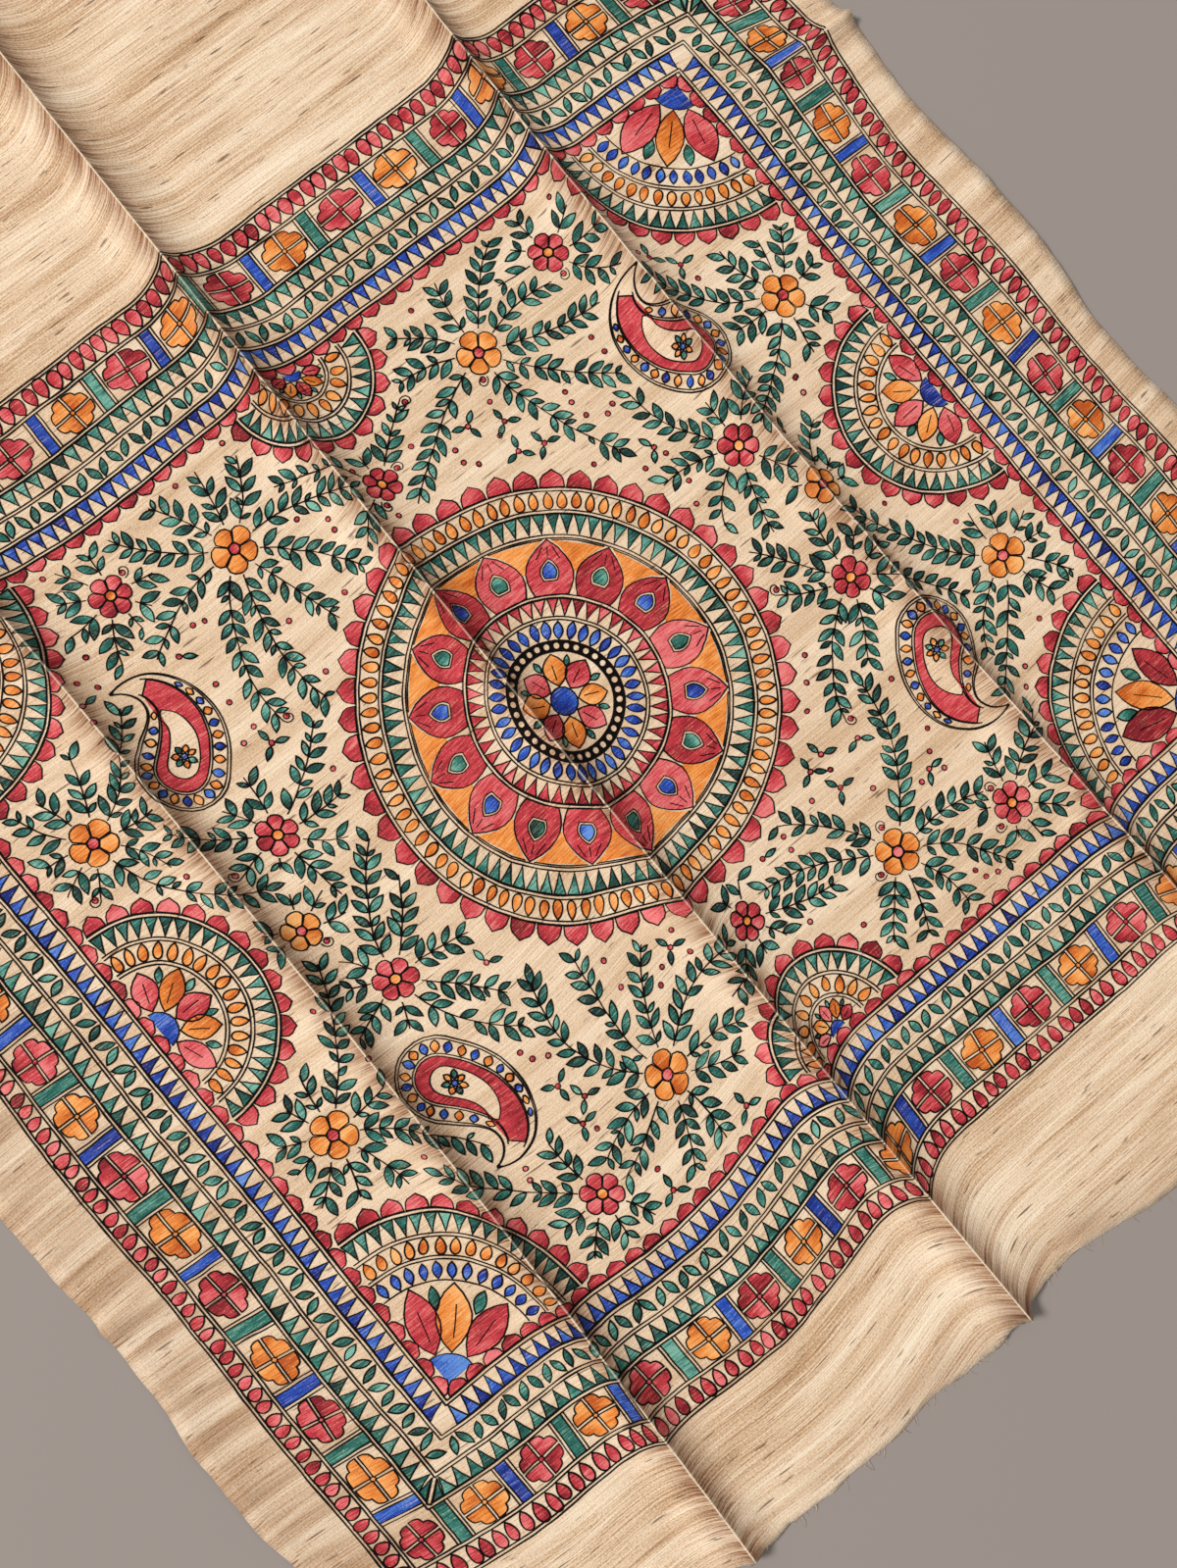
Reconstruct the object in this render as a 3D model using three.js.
// One length of hand-painted wild silk, laid out flat after being stored folded in four.
// Millimetres, Z up. X runs across the cloth from its left selvedge to its right one.
// Y runs along it, from the cut foot to the head, with zero at the middle of the painting.
// Underside Z = 0 is the surface it lies on.

import * as THREE from 'three';

// Driving sizes.
const LOOM_WIDTH = 914;      // flat, selvedge to selvedge: a 36 inch loom
const FOOT_REACH = 453;      // flat, middle of the painting to the cut foot
const HEAD_REACH = 600;      // flat, middle of the painting to the head
const THICKNESS = 1.5;
const PAINTED_REACH = 337;   // middle of the painting to the flower row at its foot or head
const CREASE_STATION = 470;  // middle of the painting to where the creases' foot and head are read

// Long creases, left to right. at: distance from the left selvedge, at the foot, the middle
// and the head. rise: height of the ridge there. left, right: how much cloth slopes up to it
// on each side. drawn: how far the crease itself is pulled towards the head, at foot and head.
const CREASES = [
  { name: 'left quarter', at: [214, 225, 219], rise: [10, 12, 9], left: 40, right: 34, drawn: [-1, 0] },
  { name: 'centre', at: [438, 440, 449], rise: [11, 14, 14], left: 40, right: 44, drawn: [-11, 6] },
  { name: 'right quarter', at: [695, 685, 693], rise: [10, 12, 12], left: 38, right: 36, drawn: [-4, 6] },
];

// Short folds that run in from a selvedge. side: -1 left, 1 right. along: place from the middle.
// rise: height at the selvedge. reach: cloth that slopes up on each side. run: length of the fold.
// takes: length of cloth that it draws in at the selvedge.
const NIPS = [
  { side: 1, along: 246, rise: 9, reach: 26, run: 130, takes: 14 },
  { side: -1, along: -127, rise: 4, reach: 18, run: 90, takes: 5 },
];

// How far the cloth has slipped towards the head, at places across it, at the foot and the head.
const SLIP = [
  { across: 0, foot: 11, head: 4 },
  { across: 152, foot: -9, head: 9 },
  { across: 305, foot: -22, head: -2 },
  { across: 457, foot: -1, head: 0 },
  { across: 609, foot: -3, head: 0 },
  { across: 762, foot: 2, head: 3 },
  { across: 914, foot: 17, head: -15 },
];

// The torn foot isn't square: how far past FOOT_REACH it runs, at places across the cloth.
const FOOT_CUT = [
  { across: 0, past: 6 },
  { across: 300, past: 0 },
  { across: 345, past: 4 },
  { across: 410, past: 20 },
  { across: 440, past: 9 },
  { across: 475, past: 17 },
  { across: 570, past: 29 },
  { across: 914, past: 32 },
];

// Share of the painting's length that a slip runs on for, past its foot and its head.
const RUN_ON = 0.3;

// Rows within this length of an end bend to follow it.
const END_BLEND = 90;

// Slow waver of the free edges. power: how fast it dies away inwards from the selvedges.
const EDGE_WAVER = { size: 2.5, length: 190, power: 8 };
const HEAD_WAVER = { size: 3, length: 260 };

// Free edges stand a little off the surface in places.
const EDGE_LIFT = { height: 3, reach: 45, length: 310 };

// Mesh density.
const ROW_STEP = 30;
const PANEL_COLUMNS = 5;     // columns between one crease's slopes and the next
const SLOPE_STEPS = [0.12, 0.3, 0.55, 1];      // shares of a slope, from the ridge outwards
const WALK_STEP = 1;         // step of the sum that turns cloth length into width

// A value given at the foot, the middle and the head, as a smooth curve along the cloth.
function alongCurve([foot, middle, head], y) {
  const share = y / CREASE_STATION;
  return middle + share * (head - foot) / 2 + share * share * ((head + foot) / 2 - middle);
}

// A value given at the painting's foot and head, as a straight run that stops a little past them.
function alongLine([foot, head], y) {
  const share = THREE.MathUtils.clamp(0.5 + y / (2 * PAINTED_REACH), -RUN_ON, 1 + RUN_ON);
  return THREE.MathUtils.lerp(foot, head, share);
}

// A table's column read smoothly between its rows.
function acrossTable(table, column, across) {
  const last = table.length - 1;
  let i = 0;
  while (i < last - 1 && across > table[i + 1].across) i += 1;
  const [from, to] = [table[i], table[i + 1]];
  const share = THREE.MathUtils.smoothstep(across, from.across, to.across);
  return THREE.MathUtils.lerp(from[column], to[column], share);
}

// Share of a ridge's height at a distance from its top: 1 there, 0 past the end of its slope.
function slope(distance, left, right) {
  const share = distance < 0 ? -distance / left : distance / right;
  return Math.max(0, 1 - share) ** 2;
}

function wave(distance, length) {
  return Math.sin(2 * Math.PI * distance / length);
}

// A nip's strength: 1 at its selvedge, 0 at its inner end.
function nipFade(nip, across) {
  const fromEdge = nip.side > 0 ? LOOM_WIDTH - across : across;
  return Math.max(0, 1 - fromEdge / nip.run) ** 2;
}

// Height of the underside over the surface, by flat place on the cloth.
function height(across, y) {
  let z = 0;
  for (const crease of CREASES) {
    const fromTop = across - alongCurve(crease.at, y);
    z += alongCurve(crease.rise, y) * slope(fromTop, crease.left, crease.right);
  }
  for (const nip of NIPS) {
    z += nip.rise * nipFade(nip, across) * slope(y - nip.along, nip.reach, nip.reach);
  }
  const edge = Math.min(across, LOOM_WIDTH - across);
  const lift = EDGE_LIFT.height * Math.max(0, 1 - edge / EDGE_LIFT.reach) ** 2;
  return z + lift * (0.5 + 0.5 * wave(y, EDGE_LIFT.length));
}

// Where the flat width goes once the ridges have taken their share: x at every WALK_STEP.
function walkAcross(y) {
  const places = [0];
  for (let across = 0; across < LOOM_WIDTH; across += WALK_STEP) {
    const climb = (height(across + WALK_STEP, y) - height(across, y)) / WALK_STEP;
    places.push(places.at(-1) + WALK_STEP * Math.sqrt(Math.max(0, 1 - climb * climb)));
  }
  const middle = places[Math.round(LOOM_WIDTH / 2 / WALK_STEP)];
  return places.map((x) => x - middle);
}

function readWalk(places, across) {
  const at = THREE.MathUtils.clamp(across / WALK_STEP, 0, places.length - 1.001);
  const i = Math.floor(at);
  return THREE.MathUtils.lerp(places[i], places[i + 1], at - i);
}

// How far a flat place has slipped along the cloth.
function slipAt(across, y) {
  const foot = acrossTable(SLIP, 'foot', across);
  const head = acrossTable(SLIP, 'head', across);
  let slip = alongLine([foot, head], y);
  for (const crease of CREASES) {
    const fromTop = across - alongCurve(crease.at, y);
    slip += alongLine(crease.drawn, y) * slope(fromTop, crease.left, crease.right);
  }
  for (const nip of NIPS) {
    const passed = THREE.MathUtils.smoothstep(y, nip.along - nip.reach, nip.along + nip.reach);
    slip += nip.takes * nipFade(nip, across) * (0.5 - passed);
  }
  return slip;
}

// Flat distances of the mesh columns in one row: even between the creases, closer on their slopes.
function columnsAt(y) {
  const columns = [0];
  let start = 0;
  for (const crease of CREASES) {
    const top = alongCurve(crease.at, y);
    const leftSteps = SLOPE_STEPS.map((share) => top - share * crease.left).reverse();
    const rightSteps = SLOPE_STEPS.map((share) => top + share * crease.right);
    columns.push(...evenColumns(start, leftSteps[0]), ...leftSteps.slice(1), top, ...rightSteps);
    start = rightSteps.at(-1);
  }
  return [...columns, ...evenColumns(start, LOOM_WIDTH)];
}

function evenColumns(start, end) {
  const step = (end - start) / PANEL_COLUMNS;
  return Array.from({ length: PANEL_COLUMNS }, (_, k) => start + (k + 1) * step);
}

// Flat rows between the foot and the head.
function clothRows() {
  const count = Math.round((FOOT_REACH + HEAD_REACH) / ROW_STEP);
  const step = (FOOT_REACH + HEAD_REACH) / count;
  return Array.from({ length: count + 1 }, (_, row) => row * step - FOOT_REACH);
}

// A row's own flat place along the cloth, bent near the ends to follow the torn foot and the head.
function bentRow(across, rowY) {
  const footShare = Math.max(0, 1 - (rowY + FOOT_REACH) / END_BLEND);
  const headShare = Math.max(0, 1 - (HEAD_REACH - rowY) / END_BLEND);
  const past = acrossTable(FOOT_CUT, 'past', across);
  return rowY - footShare * past + headShare * HEAD_WAVER.size * wave(across, HEAD_WAVER.length);
}

// The point of the underside at a flat place.
function clothPoint(across, y, places) {
  const edgeShare = Math.abs(2 * across / LOOM_WIDTH - 1) ** EDGE_WAVER.power;
  const waver = EDGE_WAVER.size * wave(y, EDGE_WAVER.length) * edgeShare;
  return new THREE.Vector3(readWalk(places, across) + waver, y + slipAt(across, y), height(across, y));
}

// The underside's points, row by row from the foot.
function clothGrid() {
  return clothRows().map((rowY) => {
    const places = walkAcross(rowY);
    return columnsAt(rowY).map((across) => clothPoint(across, bentRow(across, rowY), places));
  });
}

// Indices round the edge of a grid, anticlockwise seen from above.
function gridRim(rows, columns) {
  const rim = [];
  for (let column = 0; column < columns - 1; column += 1) rim.push(column);
  for (let row = 0; row < rows - 1; row += 1) rim.push(row * columns + columns - 1);
  for (let column = columns - 1; column > 0; column -= 1) rim.push((rows - 1) * columns + column);
  for (let row = rows - 1; row > 0; row -= 1) rim.push(row * columns);
  return rim;
}

// The closed sheet: a grid for the top, the same grid lowered for the underside, and the rim.
function sheetGeometry() {
  const grid = clothGrid();
  const [rows, columns] = [grid.length, grid[0].length];
  const under = grid.flat();
  const count = under.length;
  const positions = [];
  for (const point of under) positions.push(point.x, point.y, point.z + THICKNESS);
  for (const point of under) positions.push(point.x, point.y, point.z);

  const faces = [];
  const quad = (a, b, c, d) => faces.push(a, b, c, a, c, d);
  for (let row = 0; row < rows - 1; row += 1) {
    for (let column = 0; column < columns - 1; column += 1) {
      const a = row * columns + column;
      const [b, c, d] = [a + 1, a + 1 + columns, a + columns];
      quad(a, b, c, d);
      quad(a + count, d + count, c + count, b + count);
    }
  }
  const rim = gridRim(rows, columns);
  rim.forEach((a, i) => {
    const b = rim[(i + 1) % rim.length];
    quad(a, a + count, b + count, b);
  });

  const geometry = new THREE.BufferGeometry();
  geometry.setAttribute('position', new THREE.Float32BufferAttribute(positions, 3));
  geometry.setIndex(faces);
  geometry.computeBoundingBox();
  const centre = geometry.boundingBox.getCenter(new THREE.Vector3());
  geometry.translate(-centre.x, -centre.y, 0);
  geometry.computeVertexNormals();
  return geometry;
}

const silk = new THREE.MeshStandardMaterial({ color: 0xe3c79b, roughness: 0.62, metalness: 0 });
const cloth = new THREE.Mesh(sheetGeometry(), silk);
cloth.name = 'painted_cloth';

const part = new THREE.Group();
part.add(cloth);

export default part;
